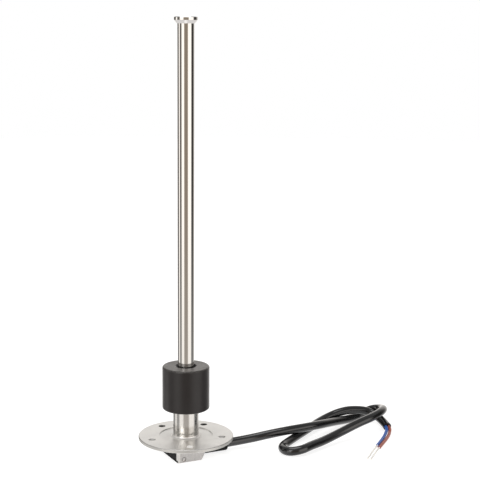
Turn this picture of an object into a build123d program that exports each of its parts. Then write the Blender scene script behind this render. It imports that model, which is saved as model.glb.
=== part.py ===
from build123d import *
import math
import os

# Reed-switch level sender for a tank, standing on its cable hood as on a bench.
# Millimetres. Origin: centre of the flange's tank-side face. +Z runs along the
# guide tube to its end cap, and +X is the side where the cable leaves.

# Mounting flange
flange_dia = 70.0
flange_thick = 2.5
flange_edge = 0.4
bolt_circle_dia = 54.0
bolt_count = 5
bolt_hole_dia = 5.3
recess_dia = 39.6
recess_deep = 0.6

# Guide tube and what is fixed to it
tube_dia = 12.0
tube_wall = 1.0
tube_foot = 2.0
slip_gap = 0.05
sender_length = 305.0
cap_dia = 16.8
cap_rim_high = 2.3
cap_cone_high = 2.4
cap_lip = 0.35
cap_edge = 0.4
cap_spigot = 5.0
collar_dia = 18.8
collar_top = 20.6
collar_chamfer = 0.7
weld_leg = 1.7
weld_land = 0.2

# Float
float_dia = 34.8
float_high = 32.1
float_play = 0.75
float_edge = 1.3
float_mouth = 1.2
float_stop_gap = 0.3
magnet_bore = 19.0
magnet_dia = 27.0
magnet_high = 8.0

# Reed board inside the tube
board_thick = 1.0
board_side_gap = 0.4
board_shift = 1.0
board_foot = 1.0
board_end_gap = 0.5
reed_pitch = 21.0
reed_glass_dia = 2.2
reed_glass_long = 12.0
reed_glass_draw = 1.4
reed_glass_neck = 0.7
reed_leg_dia = 0.5
reed_leg_reach = 2.0
chip_long = 3.2
chip_wide = 1.6
chip_high = 0.6

# Cable hood and its filling
hood_sheet = 1.2
hood_high = 12.5
hood_wide = 36.0
hood_open_x = -13.7
hood_web_end_x = 5.1
hood_slope = 27.5
hood_fold = 1.6
hood_lip = 3.0
hood_web_setback = 1.6
dimple_dia = 3.2
dimple_deep = 0.4
dimple_from_end = 4.2
dimple_up = 3.0
potting_up = 3.0

# Cable boot, cable and cores
boot_dia = 10.0
boot_end_x = 30.5
boot_round = 0.5
cable_dia = 6.6
cable_start_x = 5.0
cable_side = -4.0
core_dia = 2.4
core_side = 1.25
core_first_run = 4.0
tip_first_run = 11.0
conductor_dia = 1.4
lead_bend = 4.0
lead_rise = 6.0
lead_off_board = 0.2
lead_top = 5.0
lead_end_long = 4.0
solder_high = 3.0
solder_wide = 2.2

# Places worked out from the sizes above
flange_back = -flange_thick
recess_floor = -recess_deep
floor_z = flange_back - hood_high
tube_r = tube_dia / 2
tube_bore_r = tube_r - tube_wall
tube_low = flange_back - tube_foot
tube_top = sender_length - cap_rim_high
cone_low = tube_top - cap_cone_high
collar_r = collar_dia / 2
float_low = collar_top
float_top = float_low + float_high
float_bore_r = tube_r + float_play
float_travel = cone_low - float_stop_gap - float_top
board_face_x = board_thick / 2 - board_shift
board_back_x = board_face_x - board_thick
board_wide = 2 * (tube_bore_r - board_side_gap)
board_top = tube_top - cap_spigot - board_end_gap
reed_x = board_face_x + reed_glass_dia / 2
first_reed = float_low + float_high / 2
last_reed = min(first_reed + float_travel, board_top - reed_glass_long / 2 - reed_leg_reach)
reed_count = int((last_reed - first_reed) / reed_pitch) + 1
reed_heights = [first_reed + i * reed_pitch for i in range(reed_count)]
hood_rise = math.tan(math.radians(hood_slope))
hood_foot_x = hood_web_end_x + hood_high * hood_rise
boot_z = floor_z + boot_dia / 2
lead_x = board_face_x + lead_off_board + core_dia / 2


def arc_radii(points):
    # Each arc takes 0.45 of the shorter of the two runs that it joins.
    spots = [Vector(*p) for p in points]
    radii = []
    for before, corner, after in zip(spots, spots[1:], spots[2:]):
        run_in = corner - before
        run_out = after - corner
        half_turn = math.radians(run_in.get_angle(run_out) / 2)
        shorter = min(run_in.length, run_out.length)
        radii.append(0.45 * shorter / math.tan(half_turn))
    return radii


def straight_out(points, side, run):
    # The first two points of a cord that comes square out of another one's end.
    way = (Vector(*points[-1]) - Vector(*points[-2])).normalized()
    across = way.cross(Vector(0, 0, 1)).normalized()
    start = Vector(*points[-1]) + across * side
    return [tuple(start), tuple(start + way * run)]


def round_cord(points, diameter, label):
    # A plain round cord that follows straight runs joined by tangent arcs.
    with BuildPart() as cord:
        with BuildLine() as route:
            FilletPolyline(*points, radius=arc_radii(points))
        with BuildSketch(Plane(origin=points[0], z_dir=route.line % 0)):
            Circle(diameter / 2)
        sweep()
    cord.part.label = label
    length = route.wires()[0].length
    share = cord.part.volume / (math.pi * diameter**2 / 4 * length)
    radii = [round(r, 1) for r in arc_radii(points)]
    print(label, "length", round(length, 1), "volume share", round(share, 4), "radii", radii)
    return cord.part


# Mounting flange: a turned disc with a shallow recess, a bore and five bolt holes
with BuildPart() as mounting_flange:
    with BuildSketch(Plane.XY.offset(flange_back)):
        Circle(flange_dia / 2)
    extrude(amount=flange_thick)
    chamfer(mounting_flange.edges().filter_by(GeomType.CIRCLE), length=flange_edge)
    with BuildSketch(Plane.XY):
        Circle(recess_dia / 2)
    extrude(amount=-recess_deep, mode=Mode.SUBTRACT)
    with BuildSketch(Plane.XY):
        Circle(tube_r + slip_gap)
        with PolarLocations(bolt_circle_dia / 2, bolt_count, start_angle=180):
            Circle(bolt_hole_dia / 2)
    extrude(amount=-flange_thick, mode=Mode.SUBTRACT)
mounting_flange.part.label = "mounting_flange"

# Guide tube: from just below the flange to the end cap
with BuildPart() as guide_tube:
    with BuildSketch(Plane.XY.offset(tube_low)):
        Circle(tube_r)
        Circle(tube_bore_r, mode=Mode.SUBTRACT)
    extrude(amount=tube_top - tube_low)
guide_tube.part.label = "guide_tube"

# End cap: one turned piece, a rim on the tube's end, a cone round it and a spigot in it
with BuildPart() as end_cap:
    with BuildSketch(Plane.XZ):
        with BuildLine():
            Polyline(
                (0, tube_top - cap_spigot),
                (tube_bore_r - slip_gap, tube_top - cap_spigot),
                (tube_bore_r - slip_gap, tube_top),
                (tube_r + slip_gap, tube_top),
                (tube_r + slip_gap, cone_low),
                (tube_r + slip_gap + cap_lip, cone_low),
                (cap_dia / 2, tube_top),
                (cap_dia / 2, sender_length),
                (0, sender_length),
                close=True,
            )
        make_face()
    revolve(axis=Axis.Z)
    chamfer(end_cap.edges().group_by(Axis.Z)[-1], length=cap_edge)
end_cap.part.label = "end_cap"

# Stop collar: the sleeve on which the float rests
with BuildPart() as stop_collar:
    with BuildSketch(Plane.XY.offset(recess_floor)):
        Circle(collar_r)
        Circle(tube_r + slip_gap, mode=Mode.SUBTRACT)
    extrude(amount=collar_top - recess_floor)
    chamfer(stop_collar.edges().group_by(Axis.Z)[-1].sort_by(SortBy.RADIUS)[-1], length=collar_chamfer)
stop_collar.part.label = "stop_collar"

# Collar weld: a concave ring in the corner between collar and flange
with BuildPart() as collar_weld:
    with BuildSketch(Plane.XZ):
        with BuildLine():
            Polyline(
                (collar_r + weld_land, recess_floor + weld_leg),
                (collar_r, recess_floor + weld_leg),
                (collar_r, recess_floor),
                (collar_r + weld_leg, recess_floor),
                (collar_r + weld_leg, recess_floor + weld_land),
            )
            RadiusArc(
                (collar_r + weld_leg, recess_floor + weld_land),
                (collar_r + weld_land, recess_floor + weld_leg),
                weld_leg - weld_land,
            )
        make_face()
    revolve(axis=Axis.Z)
collar_weld.part.label = "collar_weld"

# Float magnet: a ring moulded into the float
magnet_low = (float_low + float_top - magnet_high) / 2
with BuildPart() as float_magnet:
    with BuildSketch(Plane.XY.offset(magnet_low)):
        Circle(magnet_dia / 2)
        Circle(magnet_bore / 2, mode=Mode.SUBTRACT)
    extrude(amount=magnet_high)
float_magnet.part.label = "float_magnet"

# Float: a round block with a loose bore, rounded edges and a countersunk mouth at each end
with BuildPart() as float_body:
    with BuildSketch(Plane.XY.offset(float_low)):
        Circle(float_dia / 2)
        Circle(float_bore_r, mode=Mode.SUBTRACT)
    extrude(amount=float_high)
    rims = float_body.edges().filter_by(GeomType.CIRCLE).group_by(SortBy.RADIUS)
    chamfer(rims[0], length=float_mouth)
    fillet(float_body.edges().filter_by(GeomType.CIRCLE).group_by(SortBy.RADIUS)[-1], radius=float_edge)
    add(float_magnet.part, mode=Mode.SUBTRACT)
float_body.part.label = "float_body"

# Reed board: a narrow strip that slides into the tube
with BuildPart() as reed_board:
    with BuildSketch(Plane.XY.offset(board_foot)):
        with Locations(((board_face_x + board_back_x) / 2, 0)):
            Rectangle(board_thick, board_wide)
    extrude(amount=board_top - board_foot)
reed_board.part.label = "reed_board"

# Reed switches: glass capsules with drawn-in ends, lying along the board
with BuildPart() as reed_glass:
    with Locations([(reed_x, 0, z) for z in reed_heights]):
        Cylinder(reed_glass_dia / 2, reed_glass_long)
    chamfer(
        reed_glass.edges().filter_by(GeomType.CIRCLE),
        length=reed_glass_draw,
        length2=reed_glass_neck,
    )
reed_glass.part.label = "reed_glass"

# Reed legs: a wire out of each end of a capsule, bent down onto the board
with BuildPart() as reed_leg:
    with BuildLine() as leg_route:
        Polyline(
            (reed_x, 0, 0),
            (reed_x, 0, reed_leg_reach),
            (board_face_x, 0, reed_leg_reach),
        )
    with BuildSketch(Plane(origin=leg_route.line @ 0, z_dir=leg_route.line % 0)):
        Circle(reed_leg_dia / 2)
    sweep(transition=Transition.RIGHT)
with BuildPart() as reed_legs:
    half_glass = reed_glass_long / 2
    with Locations([(0, 0, z + half_glass) for z in reed_heights]):
        add(reed_leg.part)
    with Locations([(0, 0, z - half_glass) for z in reed_heights]):
        add(mirror(reed_leg.part, about=Plane.XY, mode=Mode.PRIVATE))
reed_legs.part.label = "reed_legs"

# Chip resistors: the chain on the back of the board, one beside each reed switch
with BuildPart() as chip_resistors:
    with Locations([(board_back_x - chip_high / 2, 0, z) for z in reed_heights]):
        Box(chip_high, chip_wide, chip_long)
chip_resistors.part.label = "chip_resistors"


def inner_lead(side, label):
    # A core on its way from the cable's end, back to the middle and up the tube to the board
    tilt = math.atan2(-cable_side, lead_rise)
    start_y = cable_side + side * math.cos(tilt)
    start_z = boot_z - side * math.sin(tilt)
    upright_z = start_z + (side - start_y) / math.tan(tilt)
    with BuildPart() as lead:
        with BuildLine() as route:
            FilletPolyline(
                (cable_start_x, start_y, start_z),
                (lead_x, start_y, start_z),
                (lead_x, side, upright_z),
                (lead_x, side, lead_top),
                radius=lead_bend,
            )
        with BuildSketch(Plane(origin=route.line @ 0, z_dir=route.line % 0)):
            Circle(core_dia / 2)
        sweep()
    lead.part.label = label
    return lead.part


inner_lead_blue = inner_lead(core_side, "inner_lead_blue")
inner_lead_red = inner_lead(-core_side, "inner_lead_red")

# Bare ends of the two leads, and the solder that joins them to the board
with BuildPart() as lead_ends:
    with BuildSketch(Plane.XY.offset(lead_top)):
        with Locations((lead_x, core_side), (lead_x, -core_side)):
            Circle(conductor_dia / 2)
    extrude(amount=lead_end_long)
lead_ends.part.label = "lead_ends"
with BuildPart() as solder_joints:
    solder_foot = lead_top + (lead_end_long - solder_high) / 2
    with BuildSketch(Plane.XY.offset(solder_foot)):
        with Locations((board_face_x, core_side), (board_face_x, -core_side)):
            Rectangle(lead_x - board_face_x, solder_wide, align=(Align.MIN, Align.CENTER))
    extrude(amount=solder_high)
    add(lead_ends.part, mode=Mode.SUBTRACT)
solder_joints.part.label = "solder_joints"

# Cable: it leaves the hood, lies on the floor and crosses over itself three times.
# The points are the corners of its centre line, from inside the hood to the stripped end.
cable_low = floor_z + cable_dia / 2
cable_route = [
    (cable_start_x, cable_side, boot_z),
    (44, cable_side, boot_z),
    (72, -9.5, cable_low + 6.5),
    (104.5, -10, cable_low + 7),
    (130, 2, cable_low + 2.5),
    (147.5, 10.5, cable_low),
    (160.5, 16, cable_low),
    (172, 14, cable_low + 5.5),
    (176, 3, cable_low + 8.5),
    (167, -9.5, cable_low + 10.5),
    (153, -19, cable_low + 10.5),
    (135.5, -22.5, cable_low + 9),
    (118.5, -25.5, cable_low + 4.5),
    (99.5, -30.5, cable_low + 2),
    (84.5, -38, cable_low + 2.5),
    (73.5, -42.5, cable_low + 2),
    (64, -36, cable_low + 0.5),
    (64.5, -24.5, cable_low),
    (79.5, -15, cable_low),
    (103.5, 3.5, cable_low),
    (126, 17.5, cable_low + 2.5),
    (141.5, 19, cable_low + 7),
    (155, 15, cable_low + 7.5),
    (165, 7.5, cable_low + 6),
    (170.5, -3.5, cable_low + 1.5),
    (165, -18.5, cable_low),
]
cable_jacket = round_cord(cable_route, cable_dia, "cable_jacket")

# The two cores that come out of the cable's end side by side
core_low = floor_z + core_dia / 2
blue_route = straight_out(cable_route, core_side, core_first_run) + [
    (159.5, -25, core_low + 0.5),
    (153.5, -32.2, core_low),
    (145.2, -40.5, core_low),
    (137.5, -47.5, core_low),
]
red_route = straight_out(cable_route, -core_side, core_first_run) + [
    (162.2, -26.8, core_low + 0.5),
    (157.2, -33, core_low),
    (148.3, -42.2, core_low),
    (136.5, -53.5, core_low),
]
core_blue = round_cord(blue_route, core_dia, "core_blue")
core_red = round_cord(red_route, core_dia, "core_red")

# The cores' bare tinned ends, drooping onto the floor
tip_low = floor_z + conductor_dia / 2
tip_blue_route = straight_out(blue_route, 0, tip_first_run) + [(115.5, -68.5, tip_low)]
tip_red_route = straight_out(red_route, 0, tip_first_run) + [(116.5, -71.2, tip_low)]
tinned_end_blue = round_cord(tip_blue_route, conductor_dia, "tinned_end_blue")
tinned_end_red = round_cord(tip_red_route, conductor_dia, "tinned_end_red")

# Cable hood: folded sheet, open towards the flange and at one end, sloped at the cable side
hood_half = hood_wide / 2
with BuildPart() as cable_hood:
    with BuildSketch(Plane.XZ.offset(-hood_half)):
        with BuildLine():
            Polyline(
                (hood_open_x, flange_back),
                (hood_open_x, floor_z),
                (hood_web_end_x, floor_z),
                (hood_foot_x, flange_back),
                close=True,
            )
        make_face()
    extrude(amount=hood_wide)
    open_end = cable_hood.faces().sort_by(Axis.X)[0]
    flange_side = cable_hood.faces().sort_by(Axis.Z)[-1]
    fillet(cable_hood.edges() - open_end.edges() - flange_side.edges(), radius=hood_fold)
    open_end = cable_hood.faces().sort_by(Axis.X)[0]
    flange_side = cable_hood.faces().sort_by(Axis.Z)[-1]
    offset(amount=-hood_sheet, openings=[open_end, flange_side])
    # The cheeks turn in at the open end, and the web stops short of it
    with BuildSketch(Plane.XY.offset(flange_back)):
        with Locations((hood_open_x, 0)):
            Rectangle(hood_sheet, 2 * (hood_half - hood_sheet), align=(Align.MIN, Align.CENTER))
            Rectangle(
                hood_sheet,
                2 * (hood_half - hood_sheet - hood_lip),
                align=(Align.MIN, Align.CENTER),
                mode=Mode.SUBTRACT,
            )
    extrude(amount=-(hood_high - hood_fold))
    with BuildSketch(Plane.XY.offset(floor_z)):
        with Locations((hood_open_x, 0)):
            Rectangle(hood_web_setback, 2 * (hood_half - hood_fold), align=(Align.MIN, Align.CENTER))
    extrude(amount=hood_sheet, mode=Mode.SUBTRACT)
    # Hole for the cable through the sloped wall
    with BuildSketch(Plane.YZ.offset(cable_start_x)):
        with Locations((cable_side, boot_z)):
            Circle(cable_dia / 2 + slip_gap)
    extrude(amount=hood_foot_x - cable_start_x, mode=Mode.SUBTRACT)
    # A shallow round dimple low on each cheek
    dimple_ball = (dimple_dia**2 / 4 + dimple_deep**2) / (2 * dimple_deep)
    dimple_y = hood_half + dimple_ball - dimple_deep
    dimple_x = hood_open_x + dimple_from_end
    dimple_z = floor_z + dimple_up
    with Locations((dimple_x, dimple_y, dimple_z), (dimple_x, -dimple_y, dimple_z)):
        Sphere(dimple_ball, mode=Mode.SUBTRACT)
cable_hood.part.label = "cable_hood"

# Potting: fills the hood, flush with its open end, and closes the foot of the tube
slope_wall = hood_sheet / math.cos(math.radians(hood_slope))
with BuildPart() as potting_block:
    with BuildSketch(Plane.XZ.offset(hood_sheet - hood_half)):
        with BuildLine():
            Polyline(
                (hood_open_x, flange_back),
                (hood_open_x, floor_z + hood_sheet),
                (hood_web_end_x + hood_sheet * hood_rise - slope_wall, floor_z + hood_sheet),
                (hood_foot_x - slope_wall, flange_back),
                close=True,
            )
        make_face()
    extrude(amount=hood_wide - 2 * hood_sheet)
    with BuildSketch(Plane.XY.offset(floor_z)):
        with Locations((hood_open_x, 0)):
            Rectangle(hood_web_setback, 2 * (hood_half - hood_fold), align=(Align.MIN, Align.CENTER))
    extrude(amount=hood_sheet)
    add([cable_hood.part, guide_tube.part], mode=Mode.SUBTRACT)
    with BuildSketch(Plane.XY.offset(tube_low)):
        Circle(tube_bore_r)
    extrude(amount=potting_up - tube_low)
    add([reed_board.part, inner_lead_blue, inner_lead_red], mode=Mode.SUBTRACT)
    with BuildSketch(Plane.YZ.offset(cable_start_x)):
        with Locations((cable_side, boot_z)):
            Circle(cable_dia / 2)
    extrude(amount=hood_foot_x - cable_start_x, mode=Mode.SUBTRACT)
potting_block.part.label = "potting_block"

# Cable boot: a sleeve round the cable, cut to seat on the sloped wall
with BuildPart() as cable_boot:
    with BuildSketch(Plane.YZ.offset(boot_end_x)):
        with Locations((cable_side, boot_z)):
            Circle(boot_dia / 2)
    extrude(amount=hood_web_end_x - boot_end_x)
    fillet(cable_boot.edges().group_by(Axis.X)[-1], radius=boot_round)
    with BuildSketch(Plane.YZ.offset(boot_end_x)):
        with Locations((cable_side, boot_z)):
            Circle(cable_dia / 2 + slip_gap)
    extrude(amount=hood_web_end_x - boot_end_x, mode=Mode.SUBTRACT)
    wall_out = (math.cos(math.radians(hood_slope)), 0, -math.sin(math.radians(hood_slope)))
    split(bisect_by=Plane(origin=(hood_web_end_x, 0, floor_z), z_dir=wall_out), keep=Keep.TOP)
cable_boot.part.label = "cable_boot"

pieces = [
    mounting_flange.part,
    guide_tube.part,
    end_cap.part,
    stop_collar.part,
    collar_weld.part,
    float_body.part,
    float_magnet.part,
    reed_board.part,
    reed_glass.part,
    reed_legs.part,
    chip_resistors.part,
    inner_lead_blue,
    inner_lead_red,
    lead_ends.part,
    solder_joints.part,
    cable_hood.part,
    potting_block.part,
    cable_boot.part,
    cable_jacket,
    core_blue,
    core_red,
    tinned_end_blue,
    tinned_end_red,
]
os.makedirs("parts", exist_ok=True)
for piece in pieces:
    export_step(piece, f"parts/{piece.label}.step")
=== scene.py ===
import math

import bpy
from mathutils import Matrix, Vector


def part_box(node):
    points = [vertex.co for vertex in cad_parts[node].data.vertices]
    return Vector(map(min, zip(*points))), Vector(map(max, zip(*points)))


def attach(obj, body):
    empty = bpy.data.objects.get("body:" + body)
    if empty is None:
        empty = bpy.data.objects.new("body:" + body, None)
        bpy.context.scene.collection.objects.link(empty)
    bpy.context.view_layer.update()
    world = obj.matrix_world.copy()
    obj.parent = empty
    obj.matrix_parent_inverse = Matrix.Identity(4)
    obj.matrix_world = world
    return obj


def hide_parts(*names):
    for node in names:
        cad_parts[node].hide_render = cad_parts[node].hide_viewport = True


bl_info = {
    "name": "Tank Level Sender",
    "version": (1, 0, 0),
    "blender": (4, 5, 0),
    "location": "View3D > Sidebar > Sender",
    "description": "Finishes, loose cable, studio and camera for a reed-switch tank level sender",
    "category": "Object",
}

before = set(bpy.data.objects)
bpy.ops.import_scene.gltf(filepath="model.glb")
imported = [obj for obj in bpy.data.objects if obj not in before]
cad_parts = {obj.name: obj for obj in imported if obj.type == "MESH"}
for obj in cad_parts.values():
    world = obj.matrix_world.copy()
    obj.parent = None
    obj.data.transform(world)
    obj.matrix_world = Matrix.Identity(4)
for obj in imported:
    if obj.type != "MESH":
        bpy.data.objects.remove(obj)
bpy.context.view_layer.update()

# Sizes read from the frame, in metres
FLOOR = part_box("cable_hood")[0].z
HOOD_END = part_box("cable_hood")[0].x
FLANGE_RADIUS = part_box("mounting_flange")[1].x
FLOAT_LOW, FLOAT_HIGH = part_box("float_body")
BOOT_LOW, BOOT_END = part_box("cable_boot")
BOOT_MIDDLE = (BOOT_LOW + BOOT_END) / 2
CAP_LOW, CAP_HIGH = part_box("end_cap")

# Sizes that the frame's boxes don't give, in metres
BOLT_CIRCLE_RADIUS = 0.027
BOLT_HOLE_RADIUS = 0.00265
BOLT_COUNT = 5.0
FLOAT_BORE_RADIUS = 0.00675
DIMPLE_FROM_END = 0.0042
DIMPLE_ABOVE_FLOOR = 0.003
CABLE_START = 0.005
CORE_FIRST_RUN = 0.004
TIP_FIRST_RUN = 0.011

# Bands of another tone on a finish, each by its width or its two ends, in metres
BAND_BLUR = 0.0002
BAND_MARGIN = 0.001
CONE_BAND_BELOW_TOP = 0.0024
FLANGE_EDGE_BAND = 0.0003
BORE_MOUTH_BAND = 0.0011
FOLD_BAND = 0.0013
CREASE_BAND = (0.0014, 0.0018)
DIMPLE_RING = (0.0011, 0.0018)
HOLE_EDGE_BAND = (0.0001, 0.0004)
HOLE_TOP_BAND = (-0.0001, -0.0005)

# Where the bolt holes' shade changes from the front of the flange to its back, by Y in metres
HOLES_IN_FRONT = (-0.022, -0.018)
HOLES_BEHIND = (0.004, 0.016)

# Colours that lie over a finish in places: dust and wear, and painted shade, sheen and highlights
SHEATH_DUST = (0.2, 0.19, 0.18)
# Dust on the float, which also paints a sheen that lightens its top face
FLOAT_DUST_AND_SHEEN = (0.3, 0.285, 0.27)
# Rubbed foam at the float's rims, partly a painted highlight along each corner
RUBBED_FOAM_AND_HIGHLIGHT = (0.07, 0.065, 0.06)
BORE_SHADE = (0.004, 0.004, 0.004)
CONE_GLINT = (0.84, 0.81, 0.79)
FLANGE_EDGE_SHADE = (0.5, 0.49, 0.47)
BOLT_HOLE_SHADE = (0.1, 0.095, 0.09)
FOLD_GLINT = (0.66, 0.64, 0.61)
CREASE_SHADE = (0.2, 0.19, 0.18)
DIMPLE_SHADE = (0.16, 0.15, 0.15)


class CordSettings(bpy.types.PropertyGroup):
    jacket_diameter: bpy.props.FloatProperty(
        name="Jacket diameter", description="Outside of the cable", default=0.0066, unit="LENGTH")
    core_diameter: bpy.props.FloatProperty(
        name="Core diameter", description="Outside of one core's insulation", default=0.0024, unit="LENGTH")
    core_side: bpy.props.FloatProperty(
        name="Core spacing", description="Core's distance from the cable's centre line", default=0.00125,
        unit="LENGTH")
    conductor_diameter: bpy.props.FloatProperty(
        name="Conductor diameter", description="Outside of a tinned end", default=0.0014, unit="LENGTH")
    strands: bpy.props.IntProperty(
        name="Strands", description="Outer strands of a conductor", default=6, min=3, max=12)
    lay: bpy.props.FloatProperty(
        name="Lay", description="Length of one full twist of the strands", default=0.011, unit="LENGTH")


class MetalSettings(bpy.types.PropertyGroup):
    polished: bpy.props.FloatVectorProperty(
        name="Polished steel", description="Reflected colour of the tube, cap and collar", subtype="COLOR",
        size=4, default=(0.66, 0.645, 0.62, 1.0))
    satin: bpy.props.FloatVectorProperty(
        name="Satin steel", description="Reflected colour of the flange", subtype="COLOR",
        size=4, default=(0.95, 0.94, 0.915, 1.0))
    sheet: bpy.props.FloatVectorProperty(
        name="Folded sheet", description="Reflected colour of the hood", subtype="COLOR",
        size=4, default=(0.5, 0.48, 0.465, 1.0))
    tinned: bpy.props.FloatVectorProperty(
        name="Tinned copper", description="Reflected colour of the bare ends", subtype="COLOR",
        size=4, default=(0.97, 0.95, 0.91, 1.0))


class PlasticSettings(bpy.types.PropertyGroup):
    foam: bpy.props.FloatVectorProperty(
        name="Foam", description="Float's colour", subtype="COLOR", size=4,
        default=(0.012, 0.009, 0.0085, 1.0))
    sheath: bpy.props.FloatVectorProperty(
        name="Sheath", description="Cable's colour", subtype="COLOR", size=4,
        default=(0.008, 0.008, 0.009, 1.0))
    blue: bpy.props.FloatVectorProperty(
        name="Blue core", description="First core's colour", subtype="COLOR", size=4,
        default=(0.03, 0.13, 0.5, 1.0))
    red: bpy.props.FloatVectorProperty(
        name="Red core", description="Second core's colour", subtype="COLOR", size=4,
        default=(0.4, 0.095, 0.06, 1.0))


class StudioSettings(bpy.types.PropertyGroup):
    floor_radius: bpy.props.FloatProperty(
        name="Floor radius", description="Reach of the pale floor", default=2.5, unit="LENGTH")
    paper_radius: bpy.props.FloatProperty(
        name="Paper radius", description="Reach of the paper that the metal mirrors", default=0.06,
        unit="LENGTH")
    floor_glow: bpy.props.FloatProperty(
        name="Floor glow", description="Light that lifts the floor to white", default=0.8, min=0.0)
    top_power: bpy.props.FloatProperty(
        name="Top light", description="Power of the soft box overhead", default=6.0, unit="POWER")
    front_power: bpy.props.FloatProperty(
        name="Front light", description="Power of the soft box beside the camera", default=3.0, unit="POWER")


# Small helpers for nodes

def node(tree, kind, inputs=None, **settings):
    """Adds one shader node, sets its options, and links or sets its inputs."""
    made = tree.nodes.new("ShaderNode" + kind)
    for option, value in settings.items():
        setattr(made, option, value)
    for key, value in (inputs or {}).items():
        if isinstance(value, bpy.types.NodeSocket):
            tree.links.new(value, made.inputs[key])
        else:
            made.inputs[key].default_value = value
    return made


def maths(tree, operation, *values):
    return node(tree, "Math", dict(enumerate(values)), operation=operation).outputs[0]


def product(tree, first, *others):
    for other in others:
        first = maths(tree, "MULTIPLY", first, other)
    return first


def slope(tree, value, low, high, start=0.0, end=1.0, smooth=False):
    """Goes from start, where the value is at low, to end, where it is at high, and no further."""
    limits = {"Value": value, "From Min": low, "From Max": high, "To Min": start, "To Max": end}
    return node(tree, "MapRange", limits, interpolation_type="SMOOTHSTEP" if smooth else "LINEAR").outputs[0]


def blend(tree, share, under, over):
    """Mixes two colours, the first where the share is 0 and the second where it is 1."""
    # A Mix node has several sockets of one name, and its colours are inputs 6 and 7 and output 2
    return node(tree, "Mix", {0: share, 6: under, 7: over}, data_type="RGBA").outputs[2]


def object_place(tree):
    return node(tree, "TexCoord").outputs["Object"]


def object_axes(tree):
    """A point's X, Y and Z on its piece."""
    return node(tree, "SeparateXYZ", {"Vector": object_place(tree)}).outputs


def distance(tree, across, along):
    """Length of the straight line that goes this far across and this far along."""
    line = node(tree, "CombineXYZ", {"X": across, "Y": along}).outputs[0]
    return node(tree, "VectorMath", {0: line}, operation="LENGTH").outputs["Value"]


def noise(tree, vector, scale, detail=3.0, roughness=0.55):
    values = {"Vector": vector, "Scale": scale, "Detail": detail, "Roughness": roughness}
    return node(tree, "TexNoise", values).outputs[0]


def new_group(name, inputs, outputs):
    """An empty node group with float inputs and outputs, for its maker to fill."""
    tree = bpy.data.node_groups.new(name, "ShaderNodeTree")
    for label, default in inputs.items():
        socket = tree.interface.new_socket(label, in_out="INPUT", socket_type="NodeSocketFloat")
        socket.default_value = default
    for label in outputs:
        tree.interface.new_socket(label, in_out="OUTPUT", socket_type="NodeSocketFloat")
    enter = tree.nodes.new("NodeGroupInput").outputs
    leave = tree.nodes.new("NodeGroupOutput").inputs
    return tree, enter, leave


def put_out(tree, leave, **results):
    """Joins a group's results to its outputs."""
    for label, result in results.items():
        tree.links.new(result, leave[label])


# Effects that several finishes share

def make_blasted_grain():
    """Fine grain, with broader clouds in its tone, as blasting leaves it."""
    tree, enter, leave = new_group("Blasted grain", {"Scale": 900.0}, ["Tone", "Height"])
    fine = noise(tree, object_place(tree), enter["Scale"], detail=2.0, roughness=0.6)
    broad = noise(tree, object_place(tree), scale=90.0)
    tone = maths(tree, "MULTIPLY_ADD", fine, 0.5, maths(tree, "MULTIPLY", broad, 0.5))
    put_out(tree, leave, Tone=tone, Height=fine)


def make_drawn_lines():
    """Fine lines along the tube, as drawing or grinding leaves them."""
    tree, enter, leave = new_group("Drawn lines", {"Across": 2500.0, "Along": 12.0}, ["Tone", "Height"])
    stretch = node(tree, "CombineXYZ", {"X": enter["Across"], "Y": enter["Across"], "Z": enter["Along"]})
    place = node(tree, "VectorMath", {0: object_place(tree), 1: stretch.outputs[0]}, operation="MULTIPLY")
    lines = noise(tree, place.outputs[0], scale=1.0, detail=4.0, roughness=0.65)
    put_out(tree, leave, Tone=lines, Height=lines)


def make_turned_rings():
    """Fine rings round the tube's axis, as a lathe leaves them."""
    tree, enter, leave = new_group("Turned rings", {"Density": 3500.0}, ["Tone", "Height"])
    place = object_axes(tree)
    out = maths(tree, "MULTIPLY", distance(tree, place["X"], place["Y"]), enter["Density"])
    up = maths(tree, "MULTIPLY", place["Z"], enter["Density"])
    section = node(tree, "CombineXYZ", {"X": out, "Z": up}).outputs[0]
    rings = noise(tree, section, scale=1.0, roughness=0.6)
    put_out(tree, leave, Tone=rings, Height=rings)


def make_smudges():
    """Soft clouds of duller gloss."""
    tree, enter, leave = new_group("Smudges", {"Scale": 60.0}, ["Mask"])
    cloud = noise(tree, object_place(tree), enter["Scale"], detail=5.0, roughness=0.6)
    put_out(tree, leave, Mask=slope(tree, cloud, low=0.35, high=0.7, smooth=True))


def make_worn_rim_and_highlight():
    """Rubbed edges, partly a painted highlight, where the side of a round piece meets its two ends."""
    tree, enter, leave = new_group(
        "Worn rim and highlight", {"Radius": 0.017, "Low": 0.022, "High": 0.054, "Width": 0.0012}, ["Mask"])
    place = object_axes(tree)
    side = maths(tree, "SUBTRACT", enter["Radius"], distance(tree, place["X"], place["Y"]))
    end = maths(tree, "MINIMUM", maths(tree, "SUBTRACT", place["Z"], enter["Low"]),
                maths(tree, "SUBTRACT", enter["High"], place["Z"]))
    reach = maths(tree, "ADD", maths(tree, "MAXIMUM", side, 0.0), maths(tree, "MAXIMUM", end, 0.0))
    breakup = noise(tree, object_place(tree), scale=420.0)
    edge = maths(tree, "DIVIDE", reach, maths(tree, "MULTIPLY", enter["Width"], breakup))
    put_out(tree, leave, Mask=slope(tree, edge, low=0.4, high=2.6, start=1.0, end=0.0, smooth=True))


def make_dust_and_sheen():
    """Specks that lie on what faces up: dust, and on the float also a painted sheen that lightens its top
    face.
    """
    tree, enter, leave = new_group("Dust and sheen", {"Scale": 350.0, "Amount": 0.3}, ["Mask"])
    facing = node(tree, "SeparateXYZ", {"Vector": node(tree, "NewGeometry").outputs["Normal"]}).outputs["Z"]
    upward = maths(tree, "MAXIMUM", facing, 0.0)
    specks = noise(tree, object_place(tree), enter["Scale"], detail=4.0, roughness=0.7)
    lying = slope(tree, specks, low=0.32, high=0.68, smooth=True)
    put_out(tree, leave, Mask=product(tree, upward, lying, enter["Amount"]))


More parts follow.
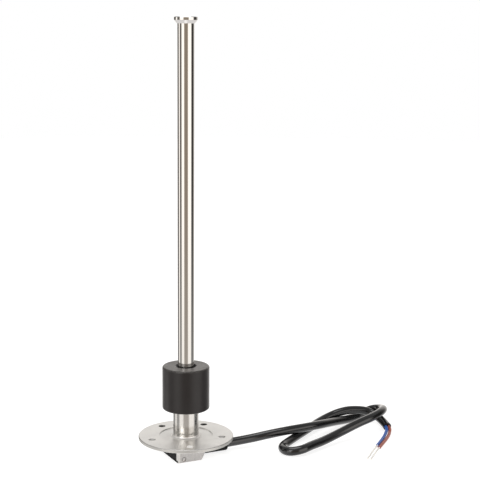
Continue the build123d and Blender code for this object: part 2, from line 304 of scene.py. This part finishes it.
def make_moulded_skin():
    """Slow waves with small pits, as on moulded foam and rubber."""
    tree, enter, leave = new_group("Moulded skin", {"Scale": 260.0}, ["Tone", "Height"])
    place = object_place(tree)
    waves = noise(tree, place, enter["Scale"], detail=2.0, roughness=0.5)
    pores = node(tree, "TexVoronoi", {"Vector": place, "Scale": maths(tree, "MULTIPLY", enter["Scale"], 6.0)})
    pits = slope(tree, pores.outputs["Distance"], low=0.0, high=0.35)
    height = maths(tree, "MULTIPLY_ADD", pits, 0.35, maths(tree, "MULTIPLY", waves, 0.65))
    put_out(tree, leave, Tone=waves, Height=height)


def band_group(name, **centre):
    """An empty group for a mask that is its Amount between From and To of some distance."""
    inputs = {**centre, "From": -0.001, "To": 0.001, "Amount": 1.0}
    return new_group(name, inputs, ["Mask"])


def put_out_band(tree, enter, leave, value):
    """Puts out the Amount where the value is between From and To, with soft ends."""
    start = slope(tree, maths(tree, "SUBTRACT", value, enter["From"]), -BAND_BLUR, BAND_BLUR)
    end = slope(tree, maths(tree, "SUBTRACT", enter["To"], value), -BAND_BLUR, BAND_BLUR)
    put_out(tree, leave, Mask=product(tree, start, end, enter["Amount"]))


def make_radial_band():
    """A ring round the tube's axis."""
    tree, enter, leave = band_group("Radial band")
    place = object_axes(tree)
    put_out_band(tree, enter, leave, distance(tree, place["X"], place["Y"]))


def make_edge_band():
    """A strip between two places along X."""
    tree, enter, leave = band_group("Edge band")
    put_out_band(tree, enter, leave, object_axes(tree)["X"])


def make_height_band():
    """A strip between two heights."""
    tree, enter, leave = band_group("Height band")
    put_out_band(tree, enter, leave, object_axes(tree)["Z"])


def make_ring_mark():
    """A ring on an upright face, round a place along X and up Z."""
    tree, enter, leave = band_group("Ring mark", Along=0.0, Up=0.0)
    place = object_axes(tree)
    along = maths(tree, "SUBTRACT", place["X"], enter["Along"])
    up = maths(tree, "SUBTRACT", place["Z"], enter["Up"])
    put_out_band(tree, enter, leave, distance(tree, along, up))


def make_bolt_hole_shade():
    """Shades the bolt holes' walls: fully behind the tube, by Beside at its sides, and not in front."""
    inputs = {"Circle": BOLT_CIRCLE_RADIUS, "Count": BOLT_COUNT, "Radius": BOLT_HOLE_RADIUS, "Beside": 0.45}
    tree, enter, leave = new_group("Bolt hole shade", inputs, ["Mask"])
    place = object_axes(tree)
    radius = distance(tree, place["X"], place["Y"])
    turn = maths(tree, "ADD", maths(tree, "ARCTAN2", place["Y"], place["X"]), math.pi)
    half = maths(tree, "DIVIDE", math.pi, enter["Count"])
    local = maths(tree, "WRAP", turn, half, maths(tree, "MULTIPLY", half, -1.0))
    across = maths(tree, "MULTIPLY", radius, maths(tree, "SINE", local))
    outward = maths(tree, "MULTIPLY", radius, maths(tree, "COSINE", local))
    along = maths(tree, "SUBTRACT", outward, enter["Circle"])
    beyond = maths(tree, "SUBTRACT", distance(tree, across, along), enter["Radius"])
    inside = slope(tree, beyond, *HOLE_EDGE_BAND, start=1.0, end=0.0)
    below = slope(tree, place["Z"], *HOLE_TOP_BAND)
    beside = slope(tree, place["Y"], *HOLES_IN_FRONT, end=enter["Beside"])
    shade = slope(tree, place["Y"], *HOLES_BEHIND, start=beside)
    put_out(tree, leave, Mask=product(tree, inside, below, shade))


EFFECTS = (make_blasted_grain, make_drawn_lines, make_turned_rings, make_smudges, make_worn_rim_and_highlight,
           make_dust_and_sheen, make_moulded_skin, make_radial_band, make_edge_band, make_height_band,
           make_ring_mark, make_bolt_hole_shade)


def place_group(tree, name, **values):
    made = tree.nodes.new("ShaderNodeGroup")
    made.node_tree = bpy.data.node_groups[name]
    for label, value in values.items():
        made.inputs[label].default_value = value
    return made


def finish(name, colour, shade, roughness, pattern, values=None, bump=(0.2, 0.0001), smudge=60.0,
           layers=(), **shader):
    """A finish with a pattern in its colour and bump, smudges in its gloss, and layers of colour on top.

    shade is how dark the pattern's low side is, roughness the range that the smudges cover, bump its
    strength and distance, and each layer a mask group's name, its values, and the layer's colour.
    """
    material = bpy.data.materials.new(name)
    material.use_nodes = True
    tree = material.node_tree
    surface = tree.nodes["Principled BSDF"]
    marks = place_group(tree, pattern, **(values or {}))
    dark = [c * shade for c in colour[:3]] + [1.0]
    tone = blend(tree, marks.outputs["Tone"], dark, list(colour))
    for mask_name, mask_values, over in layers:
        mask = place_group(tree, mask_name, **mask_values).outputs["Mask"]
        tone = blend(tree, mask, tone, (*over, 1.0))
    tree.links.new(tone, surface.inputs["Base Color"])
    cloud = place_group(tree, "Smudges", Scale=smudge).outputs["Mask"]
    gloss = slope(tree, cloud, low=0.0, high=1.0, start=roughness[0], end=roughness[1])
    tree.links.new(gloss, surface.inputs["Roughness"])
    relief = node(tree, "Bump", {"Strength": bump[0], "Distance": bump[1], "Height": marks.outputs["Height"]})
    tree.links.new(relief.outputs[0], surface.inputs["Normal"])
    for socket, value in shader.items():
        surface.inputs[socket.replace("_", " ")].default_value = value
    return material


def wear(material, *nodes):
    """Gives CAD nodes or new pieces this finish."""
    for item in nodes:
        mesh = (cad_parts[item] if isinstance(item, str) else item).data
        mesh.materials.clear()
        mesh.materials.append(material)


# Cords

def open_spline(curve, points):
    """A smooth open line with these points as its control points, in metres."""
    line = curve.splines.new("NURBS")
    line.points.add(len(points) - 1)
    for point, place in zip(line.points, points):
        point.co = (*place, 1.0)
    line.order_u = 3
    line.use_endpoint_u = True


def round_curve(name, radius, steps_along, steps_round):
    """An empty curve that makes its lines round and closes their ends."""
    curve = bpy.data.curves.new(name, "CURVE")
    curve.dimensions = "3D"
    curve.resolution_u = steps_along
    curve.bevel_depth = radius
    curve.bevel_resolution = steps_round
    curve.use_fill_caps = True
    return curve


def new_object(name, data):
    made = bpy.data.objects.new(name, data)
    bpy.context.scene.collection.objects.link(made)
    return made


def round_cord(name, points, diameter):
    curve = round_curve(name, diameter / 2, steps_along=12, steps_round=6)
    open_spline(curve, points)
    return new_object(name, curve)


def straight_out(points, side, run):
    """The first two points of a cord that comes square out of another one's end."""
    end = Vector(points[-1])
    way = (end - Vector(points[-2])).normalized()
    across = way.cross(Vector((0, 0, 1))).normalized()
    start = end + across * side
    return [tuple(start), tuple(start + way * run)]


def cable_points(radius):
    """The cable's route: out of the hood, along the floor and three times over itself."""
    low = FLOOR + radius
    return [
        (CABLE_START, BOOT_MIDDLE.y, BOOT_MIDDLE.z),
        (0.044, BOOT_MIDDLE.y, BOOT_MIDDLE.z),
        (0.0715, -0.0105, low + 0.0065),
        (0.1040, -0.0105, low + 0.0070),
        (0.1295, 0.0025, low + 0.0030),
        (0.1475, 0.0105, low),
        (0.1605, 0.0160, low),
        (0.1700, 0.0135, low + 0.0050),
        (0.1742, 0.0030, low + 0.0076),
        (0.1670, -0.0095, low + 0.0110),
        (0.1530, -0.0190, low + 0.0105),
        (0.1350, -0.0225, low + 0.0080),
        (0.1190, -0.0255, low + 0.0045),
        (0.0983, -0.0320, low + 0.0018),
        (0.0868, -0.0364, low + 0.0020),
        (0.0751, -0.0414, low + 0.0015),
        (0.0655, -0.0370, low),
        (0.0660, -0.0255, low),
        (0.0790, -0.0155, low),
        (0.1030, 0.0005, low + 0.0005),
        (0.1260, 0.0120, low + 0.0035),
        (0.1435, 0.0120, low + 0.0075),
        (0.1565, 0.0095, low + 0.0070),
        (0.1645, 0.0070, low + 0.0050),
        (0.1695, -0.0030, low + 0.0010),
        (0.1650, -0.0185, low),
    ]


def core_points(settings):
    """The two cores' routes, side by side out of the cable's end."""
    cable = cable_points(settings.jacket_diameter / 2)
    low = FLOOR + settings.core_diameter / 2
    blue = straight_out(cable, settings.core_side, CORE_FIRST_RUN) + [
        (0.1599, -0.0250, low + 0.0005),
        (0.1535, -0.0322, low),
        (0.1452, -0.0405, low),
        (0.1375, -0.0475, low),
    ]
    red = straight_out(cable, -settings.core_side, CORE_FIRST_RUN) + [
        (0.1620, -0.0267, low + 0.0005),
        (0.1570, -0.0328, low),
        (0.1478, -0.0417, low),
        (0.1358, -0.0527, low),
    ]
    return {"blue": blue, "red": red}


def tip_points(settings):
    """The tinned ends' routes, drooping onto the floor."""
    low = FLOOR + settings.conductor_diameter / 2
    cores = core_points(settings)
    return {
        "blue": straight_out(cores["blue"], 0, TIP_FIRST_RUN) + [(0.1155, -0.0685, low)],
        "red": straight_out(cores["red"], 0, TIP_FIRST_RUN) + [(0.1165, -0.0712, low)],
    }


def centre_line(points):
    """Points along the smooth line through a route, read from its own spline."""
    curve = bpy.data.curves.new("route", "CURVE")
    curve.dimensions = "3D"
    curve.resolution_u = 24
    open_spline(curve, points)
    route = bpy.data.objects.new("route", curve)
    mesh = bpy.data.meshes.new_from_object(route)
    line = [v.co.copy() for v in mesh.vertices]
    bpy.data.objects.remove(route)
    bpy.data.curves.remove(curve)
    bpy.data.meshes.remove(mesh)
    return line


def twisted_strands(name, points, diameter, count, lay):
    """A middle strand and others twisted round it along a route, as one curve of several lines."""
    line = centre_line(points)
    # Three strands lie across the bundle
    strand_radius = diameter / 6
    ring_radius = diameter / 2 - strand_radius
    curve = round_curve(name, strand_radius, steps_along=4, steps_round=3)
    open_spline(curve, line)
    for k in range(count):
        travelled = 0.0
        places = []
        for before, here, after in zip([line[0]] + line, line, line[1:] + [line[-1]]):
            travelled += (here - before).length
            way = (after - before).normalized()
            side = way.cross(Vector((0, 0, 1))).normalized()
            turn = 2 * math.pi * (k / count + travelled / lay)
            places.append(here + (side * math.cos(turn) + side.cross(way) * math.sin(turn)) * ring_radius)
        open_spline(curve, places)
    return new_object(name, curve)


class SENDER_OT_camera(bpy.types.Operator):
    """Places the camera at the picture's viewing angle"""
    bl_idname = "sender.camera"
    bl_label = "Camera"

    place = (-0.3647, -0.8192, 0.3046)
    heading = math.radians(26.49)
    down = math.radians(10.0)
    roll = math.radians(0.42)
    lens = 94.65

    def execute(self, context):
        data = bpy.data.cameras.new("Camera")
        data.sensor_width = 36.0
        data.lens = self.lens
        data.clip_start = 0.01
        data.clip_end = 20.0
        camera = new_object("Camera", data)
        turn = (Matrix.Rotation(-self.heading, 4, "Z") @ Matrix.Rotation(math.pi / 2 - self.down, 4, "X")
                @ Matrix.Rotation(self.roll, 4, "Z"))
        camera.matrix_world = Matrix.Translation(self.place) @ turn
        context.scene.camera = camera
        return {"FINISHED"}


class SENDER_OT_cable(bpy.types.Operator):
    """Lays the loose cable on the floor"""
    bl_idname = "sender.cable"
    bl_label = "Cable"

    length = 0.4664

    def execute(self, context):
        diameter = context.scene.sender_cords.jacket_diameter
        cable = round_cord("loose_cable", cable_points(diameter / 2), diameter)
        sheath = finish(
            "Cable sheath", context.scene.sender_plastics.sheath, shade=0.6, roughness=(0.08, 0.17),
            pattern="Moulded skin", values={"Scale": 320.0}, bump=(0.04, 0.0002), smudge=90.0,
            layers=[("Dust and sheen", {"Scale": 500.0, "Amount": 0.03}, SHEATH_DUST)],
            Specular_IOR_Level=0.4, Coat_Weight=0.5, Coat_Roughness=0.04)
        wear(sheath, cable)
        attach(cable, "stem")
        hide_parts("cable_jacket")
        return {"FINISHED"}


class SENDER_OT_cores(bpy.types.Operator):
    """Brings the two cores out of the cable's stripped end, with twisted, tinned strands at their ends"""
    bl_idname = "sender.cores"
    bl_label = "Cores"

    lengths = {"blue": 0.04, "red": 0.0461}

    def execute(self, context):
        settings = context.scene.sender_cords
        colours = {"blue": context.scene.sender_plastics.blue, "red": context.scene.sender_plastics.red}
        tips = tip_points(settings)
        tinned = finish(
            "Tinned copper", context.scene.sender_metals.tinned, shade=0.95, roughness=(0.45, 0.6),
            pattern="Blasted grain", values={"Scale": 3000.0}, bump=(0.15, 0.00005), smudge=900.0,
            Metallic=0.1)
        for side, points in core_points(settings).items():
            core = round_cord(f"{side}_core", points, settings.core_diameter)
            insulation = finish(
                f"{side.capitalize()} insulation", colours[side], shade=0.75, roughness=(0.26, 0.42),
                pattern="Moulded skin", values={"Scale": 500.0}, bump=(0.1, 0.0001), smudge=200.0)
            wear(insulation, core, f"inner_lead_{side}")
            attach(core, "stem")
            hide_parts(f"core_{side}")
            tip = twisted_strands(f"{side}_bare_end", tips[side], settings.conductor_diameter,
                                  settings.strands, settings.lay)
            wear(tinned, tip)
            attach(tip, "stem")
            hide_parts(f"tinned_end_{side}")
        wear(tinned, "lead_ends")
        return {"FINISHED"}


class SENDER_OT_stem(bpy.types.Operator):
    """Polishes the guide tube, its end cap and the stop collar, and finishes the collar's weld"""
    bl_idname = "sender.stem"
    bl_label = "Stem"

    def execute(self, context):
        polished = context.scene.sender_metals.polished
        tube = finish(
            "Drawn tube", polished, shade=0.86, roughness=(0.05, 0.09), pattern="Drawn lines",
            values={"Across": 2600.0, "Along": 9.0}, bump=(0.06, 0.00005), smudge=45.0, Metallic=1.0)
        cone = {"From": CAP_LOW.z - BAND_MARGIN, "To": CAP_HIGH.z - CONE_BAND_BELOW_TOP}
        cap = finish(
            "Turned cap", polished, shade=0.9, roughness=(0.06, 0.12), pattern="Turned rings",
            values={"Density": 5200.0}, bump=(0.05, 0.00004), smudge=120.0,
            layers=[("Height band", cone, CONE_GLINT)], Metallic=1.0)
        sleeve = finish(
            "Ground sleeve", polished, shade=0.88, roughness=(0.13, 0.18), pattern="Drawn lines",
            values={"Across": 2200.0, "Along": 30.0}, bump=(0.08, 0.00006), smudge=120.0, Metallic=1.0)
        weld = finish(
            "Weld bead", (0.97, 0.95, 0.92, 1.0), shade=0.88, roughness=(0.38, 0.55), pattern="Blasted grain",
            values={"Scale": 700.0}, bump=(0.3, 0.0002), smudge=260.0, Metallic=0.75)
        wear(tube, "guide_tube")
        wear(cap, "end_cap")
        wear(sleeve, "stop_collar")
        wear(weld, "collar_weld")
        return {"FINISHED"}


class SENDER_OT_flange(bpy.types.Operator):
    """Gives the flange its satin, blasted face"""
    bl_idname = "sender.flange"
    bl_label = "Flange"

    def execute(self, context):
        edge = {"From": FLANGE_RADIUS - FLANGE_EDGE_BAND, "To": FLANGE_RADIUS + BAND_MARGIN}
        satin = finish(
            "Satin flange", context.scene.sender_metals.satin, shade=0.8, roughness=(0.4, 0.5),
            pattern="Blasted grain", values={"Scale": 1400.0}, bump=(0.25, 0.00012), smudge=70.0,
            layers=[("Radial band", edge, FLANGE_EDGE_SHADE), ("Bolt hole shade", {}, BOLT_HOLE_SHADE)],
            Metallic=1.0)
        wear(satin, "mounting_flange")
        return {"FINISHED"}


class SENDER_OT_float(bpy.types.Operator):
    """Finishes the foam float and the magnet inside it"""
    bl_idname = "sender.float"
    bl_label = "Float"

    def execute(self, context):
        # The float's rims are lighter as rubbed wear and as a painted highlight along the thin light line at
        # each corner
        rim = {"Radius": FLOAT_HIGH.x, "Low": FLOAT_LOW.z, "High": FLOAT_HIGH.z, "Width": 0.0004}
        mouth = {"To": FLOAT_BORE_RADIUS + BORE_MOUTH_BAND}
        # The dust layer also paints a sheen on the float's top face, where it catches light at a grazing
        # angle
        foam = finish(
            "Float foam", context.scene.sender_plastics.foam, shade=0.8, roughness=(0.34, 0.42),
            pattern="Moulded skin", values={"Scale": 420.0}, bump=(0.06, 0.0001), smudge=80.0,
            layers=[("Worn rim and highlight", rim, RUBBED_FOAM_AND_HIGHLIGHT),
                    ("Dust and sheen", {"Scale": 1300.0, "Amount": 0.35}, FLOAT_DUST_AND_SHEEN),
                    ("Radial band", mouth, BORE_SHADE)],
            Sheen_Weight=1.0, Sheen_Roughness=0.25, Specular_IOR_Level=0.4)
        ferrite = finish(
            "Ferrite", (0.05, 0.05, 0.055, 1.0), shade=0.7, roughness=(0.5, 0.65), pattern="Blasted grain",
            values={"Scale": 1500.0})
        wear(foam, "float_body")
        wear(ferrite, "float_magnet")
        return {"FINISHED"}


class SENDER_OT_hood(bpy.types.Operator):
    """Finishes the folded hood, its potting and the cable boot"""
    bl_idname = "sender.hood"
    bl_label = "Hood"

    def execute(self, context):
        fold = {"From": HOOD_END - BAND_MARGIN, "To": HOOD_END + FOLD_BAND, "Amount": 0.6}
        crease = {"From": HOOD_END + CREASE_BAND[0], "To": HOOD_END + CREASE_BAND[1], "Amount": 0.5}
        dimple = {"Along": HOOD_END + DIMPLE_FROM_END, "Up": FLOOR + DIMPLE_ABOVE_FLOOR,
                  "From": DIMPLE_RING[0], "To": DIMPLE_RING[1], "Amount": 0.75}
        sheet = finish(
            "Folded sheet", context.scene.sender_metals.sheet, shade=0.7, roughness=(0.2, 0.34),
            pattern="Blasted grain", values={"Scale": 700.0}, bump=(0.2, 0.0001), smudge=160.0,
            layers=[("Edge band", fold, FOLD_GLINT), ("Edge band", crease, CREASE_SHADE),
                    ("Ring mark", dimple, DIMPLE_SHADE)],
            Metallic=1.0)
        resin = finish(
            "Potting resin", (0.004, 0.004, 0.004, 1.0), shade=0.6, roughness=(0.3, 0.5),
            pattern="Moulded skin", values={"Scale": 120.0}, bump=(0.5, 0.0006), smudge=150.0,
            Specular_IOR_Level=0.03)
        rubber = finish(
            "Boot rubber", (0.006, 0.006, 0.006, 1.0), shade=0.7, roughness=(0.38, 0.55),
            pattern="Moulded skin", values={"Scale": 380.0}, bump=(0.25, 0.0002), smudge=120.0,
            Specular_IOR_Level=0.06)
        wear(sheet, "cable_hood")
        wear(resin, "potting_block")
        wear(rubber, "cable_boot")
        return {"FINISHED"}


class SENDER_OT_board(bpy.types.Operator):
    """Finishes the reed board that is sealed inside the tube"""
    bl_idname = "sender.board"
    bl_label = "Reed board"

    def execute(self, context):
        laminate = finish(
            "Board laminate", (0.03, 0.16, 0.06, 1.0), shade=0.75, roughness=(0.3, 0.45),
            pattern="Blasted grain", values={"Scale": 1800.0})
        glass = finish(
            "Capsule glass", (0.75, 0.86, 0.78, 1.0), shade=0.9, roughness=(0.02, 0.08),
            pattern="Moulded skin", values={"Scale": 300.0}, bump=(0.05, 0.0001), Transmission_Weight=1.0)
        wire = finish(
            "Nickel wire", (0.6, 0.57, 0.5, 1.0), shade=0.85, roughness=(0.25, 0.4),
            pattern="Drawn lines", values={"Across": 4000.0, "Along": 200.0}, Metallic=1.0)
        resistor = finish(
            "Resistor body", (0.02, 0.02, 0.022, 1.0), shade=0.7, roughness=(0.35, 0.5),
            pattern="Blasted grain", values={"Scale": 2500.0})
        solder = finish(
            "Solder", (0.62, 0.62, 0.63, 1.0), shade=0.8, roughness=(0.15, 0.35),
            pattern="Blasted grain", values={"Scale": 900.0}, Metallic=1.0)
        wear(laminate, "reed_board")
        wear(glass, "reed_glass")
        wear(wire, "reed_legs")
        wear(resistor, "chip_resistors")
        wear(solder, "solder_joints")
        return {"FINISHED"}


# Studio

# What stands round the object, by its angle to the right of the camera in degrees: a brightness and how
# warm it is. Soft boxes stand at each side of the camera, dark gaps beyond them, and a white wall behind.
SURROUND = (
    (-180, 1.0, 0.2), (-160, 0.95, 0.2), (-148, 0.06, 0.6), (-114, 0.06, 0.6), (-107, 1.6, 0.2),
    (-92, 1.6, 0.2), (-86, 0.16, 0.4), (-62, 0.2, 0.4), (-54, 1.7, 0.2), (-25, 1.7, 0.2),
    (-17, 0.34, 1.0), (5, 0.32, 1.0), (26, 0.34, 1.0), (35, 1.7, 0.2), (76, 1.7, 0.2), (87, 0.08, 0.3),
    (112, 0.04, 0.3), (128, 0.25, 0.3), (150, 0.95, 0.2), (180, 1.0, 0.2),
)
WARMTH = (0.2, 0.0, -0.2)
CEILING = (0.4, 0.4, 0.4, 1.0)
TABLE = (0.79, 0.79, 0.79, 1.0)
WHITE = (1.0, 1.0, 1.0, 1.0)


def studio_world(heading):
    """White to the camera, and a ring of soft boxes and dark gaps to everything else."""
    world = bpy.data.worlds.new("Studio")
    world.use_nodes = True
    tree = world.node_tree
    way = node(tree, "TexCoord").outputs["Generated"]
    right = (math.cos(heading), -math.sin(heading), 0.0)
    near = (-math.sin(heading), -math.cos(heading), 0.0)
    across = node(tree, "VectorMath", {0: way, 1: right}, operation="DOT_PRODUCT").outputs["Value"]
    along = node(tree, "VectorMath", {0: way, 1: near}, operation="DOT_PRODUCT").outputs["Value"]
    turn = maths(tree, "ARCTAN2", across, along)
    share = maths(tree, "MULTIPLY_ADD", turn, 1 / (2 * math.pi), 0.5)
    band = node(tree, "ValToRGB", {0: share})
    stops = band.color_ramp.elements
    brightest = max(level * (1 + warm * max(WARMTH)) for angle, level, warm in SURROUND)
    for i, (angle, level, warm) in enumerate(SURROUND):
        place = angle / 360 + 0.5
        stop = stops[i] if i < 2 else stops.new(place)
        stop.position = place
        stop.color = [level * (1 + warm * shift) / brightest for shift in WARMTH] + [1.0]
    ring = node(tree, "VectorMath", {0: band.outputs[0], "Scale": brightest}, operation="SCALE").outputs[0]
    height = node(tree, "SeparateXYZ", {"Vector": way}).outputs["Z"]
    above = slope(tree, height, low=0.4, high=0.62, smooth=True)
    below = slope(tree, height, low=-0.1, high=-0.54, smooth=True)
    colour = blend(tree, above, ring, CEILING)
    colour = blend(tree, below, colour, TABLE)
    shown = blend(tree, node(tree, "LightPath").outputs["Is Camera Ray"], colour, WHITE)
    tree.links.new(shown, tree.nodes["Background"].inputs["Color"])
    return world


def floor_paper(settings):
    """White paper that polished metal mirrors only near the object."""
    material = bpy.data.materials.new("Floor paper")
    material.use_nodes = True
    tree = material.node_tree
    paper = tree.nodes["Principled BSDF"]
    paper.inputs["Base Color"].default_value = (0.45, 0.45, 0.45, 1.0)
    paper.inputs["Roughness"].default_value = 0.8
    paper.inputs["Emission Color"].default_value = WHITE
    paper.inputs["Emission Strength"].default_value = settings.floor_glow
    place = object_axes(tree)
    radius = distance(tree, place["X"], place["Y"])
    beyond = slope(tree, radius, settings.paper_radius, settings.paper_radius * 1.4, smooth=True)
    hidden = maths(tree, "MULTIPLY", beyond, node(tree, "LightPath").outputs["Is Glossy Ray"])
    clear = node(tree, "BsdfTransparent").outputs[0]
    mixed = node(tree, "MixShader", {0: hidden, 1: paper.outputs[0], 2: clear}).outputs[0]
    tree.links.new(mixed, tree.nodes["Material Output"].inputs["Surface"])
    return material


def soft_box(name, size, power, place, target):
    data = bpy.data.lights.new(name, "AREA")
    data.shape = "RECTANGLE"
    data.size, data.size_y = size
    data.energy = power
    light = new_object(name, data)
    way = Vector(target) - Vector(place)
    light.matrix_world = Matrix.Translation(place) @ way.to_track_quat("-Z", "Y").to_matrix().to_4x4()


class SENDER_OT_stage(bpy.types.Operator):
    """Sets the pale floor, the soft lights and the white surround"""
    bl_idname = "sender.stage"
    bl_label = "Stage"

    def execute(self, context):
        settings = context.scene.sender_studio
        bpy.ops.mesh.primitive_circle_add(vertices=96, radius=settings.floor_radius, fill_type="NGON",
                                          location=(0, 0, 0))
        floor = context.object
        floor.name = "studio_floor"
        floor.data.transform(Matrix.Translation((0, 0, FLOOR)))
        floor.data.materials.append(floor_paper(settings))
        context.scene.world = studio_world(SENDER_OT_camera.heading)
        soft_box("Top box", size=(0.9, 0.9), power=settings.top_power, place=(0.0, 0.1, 1.3),
                 target=(0.03, 0, 0))
        soft_box("Front box", size=(0.5, 0.7), power=settings.front_power, place=(-0.9, -0.6, 0.7),
                 target=(0.03, 0, 0.08))
        context.scene.view_settings.view_transform = "Standard"
        context.scene.view_settings.look = "None"
        return {"FINISHED"}


class SENDER_PT_panel(bpy.types.Panel):
    """Lists the sender's pieces and its studio"""
    bl_idname = "SENDER_PT_panel"
    bl_label = "Tank Level Sender"
    bl_space_type = "VIEW_3D"
    bl_region_type = "UI"
    bl_category = "Sender"

    def draw(self, context):
        for operator in OPERATORS:
            self.layout.operator(operator.bl_idname)
        for name, group in SETTINGS.items():
            for field in group.__annotations__:
                self.layout.prop(getattr(context.scene, name), field)


OPERATORS = (SENDER_OT_camera, SENDER_OT_cable, SENDER_OT_cores, SENDER_OT_stem, SENDER_OT_flange,
             SENDER_OT_float, SENDER_OT_hood, SENDER_OT_board, SENDER_OT_stage)
SETTINGS = {"sender_cords": CordSettings, "sender_metals": MetalSettings, "sender_plastics": PlasticSettings,
            "sender_studio": StudioSettings}


def register():
    for name, group in SETTINGS.items():
        bpy.utils.register_class(group)
        setattr(bpy.types.Scene, name, bpy.props.PointerProperty(type=group))
    for item in (*OPERATORS, SENDER_PT_panel):
        bpy.utils.register_class(item)


def unregister():
    for item in (SENDER_PT_panel, *reversed(OPERATORS)):
        bpy.utils.unregister_class(item)
    for name, group in SETTINGS.items():
        delattr(bpy.types.Scene, name)
        bpy.utils.unregister_class(group)


def main():
    register()
    for make in EFFECTS:
        make()
    bpy.ops.sender.camera()
    bpy.ops.sender.cable()
    bpy.ops.sender.cores()
    bpy.ops.sender.stem()
    bpy.ops.sender.flange()
    bpy.ops.sender.float()
    bpy.ops.sender.hood()
    bpy.ops.sender.board()
    bpy.ops.sender.stage()


if __name__ == "__main__":
    main()
